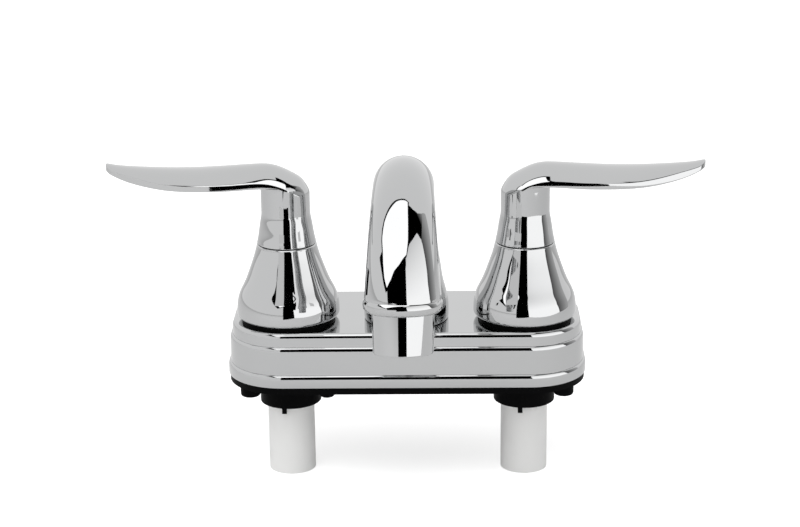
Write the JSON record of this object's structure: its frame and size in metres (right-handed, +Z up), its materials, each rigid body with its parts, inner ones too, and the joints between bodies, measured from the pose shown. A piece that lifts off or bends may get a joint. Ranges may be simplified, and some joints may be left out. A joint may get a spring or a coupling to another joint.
{
  "type": "lavatory faucet",
  "caption": "Lavatory faucet for a three-hole deck: stepped base, arched spout with an aerator and a lever handle on each side, inlet shanks below.",
  "frame": {"origin": "midway between the axes of the two inlet shanks, on the deck face under the base plate", "axes": "+X towards the right-hand tap as the user faces the faucet, +Y away from the user, +Z up along the shanks"},
  "size_m": [0.2526, 0.1326, 0.1487],
  "materials": {
    "chrome": "polished chrome plating",
    "black_plastic": "moulded, satin",
    "white_acetal": "natural white moulding, slightly translucent",
    "brass": "turned",
    "black_rubber": "moulded, matte",
    "ceramic": "ground and lapped ceramic",
    "steel": "plain stainless steel",
    "grey_plastic": "moulded"
  },
  "bodies": {
    "deck_set": {"base_cover": "chrome", "base_plate": "black_plastic", "plate_screws": "steel", "waterway": "white_acetal", "spout_washer": "grey_plastic", "left_seat_seal": "black_rubber", "left_fixed_disc": "ceramic", "left_cartridge_body": "brass", "left_bonnet_nut": "brass", "left_bell_ring": "black_rubber", "left_bell": "chrome", "right_seat_seal": "black_rubber", "right_fixed_disc": "ceramic", "right_cartridge_body": "brass", "right_bonnet_nut": "brass", "right_bell_ring": "black_rubber", "right_bell": "chrome"},
    "left_handle": {"left_lever_handle": "chrome", "left_handle_screw": "steel", "left_stem": "brass", "left_stem_seal": "black_rubber", "left_turning_disc": "ceramic"},
    "right_handle": {"right_lever_handle": "chrome", "right_handle_screw": "steel", "right_stem": "brass", "right_stem_seal": "black_rubber", "right_turning_disc": "ceramic"},
    "spout": {"spout": "chrome", "spout_o_rings": "black_rubber", "spout_retaining_ring": "steel", "aerator_housing": "chrome", "aerator_insert": "grey_plastic", "aerator_screen": "steel", "aerator_washer": "black_rubber"}
  },
  "joints": [
    {"name": "left_lever_turn", "type": "hinge", "parent": "deck_set", "child": "left_handle", "pos_m": [-0.0508, 0, 0.06], "axis": [0, 0, 1], "range_deg": [0, 90]},
    {"name": "right_lever_turn", "type": "hinge", "parent": "deck_set", "child": "right_handle", "pos_m": [0.0508, 0, 0.06], "axis": [0, 0, 1], "range_deg": [-90, 0]},
    {"name": "spout_swivel", "type": "hinge", "parent": "deck_set", "child": "spout", "pos_m": [0, 0, 0.0265], "axis": [0, 0, 1], "range_deg": [-20, 20]}
  ]
}
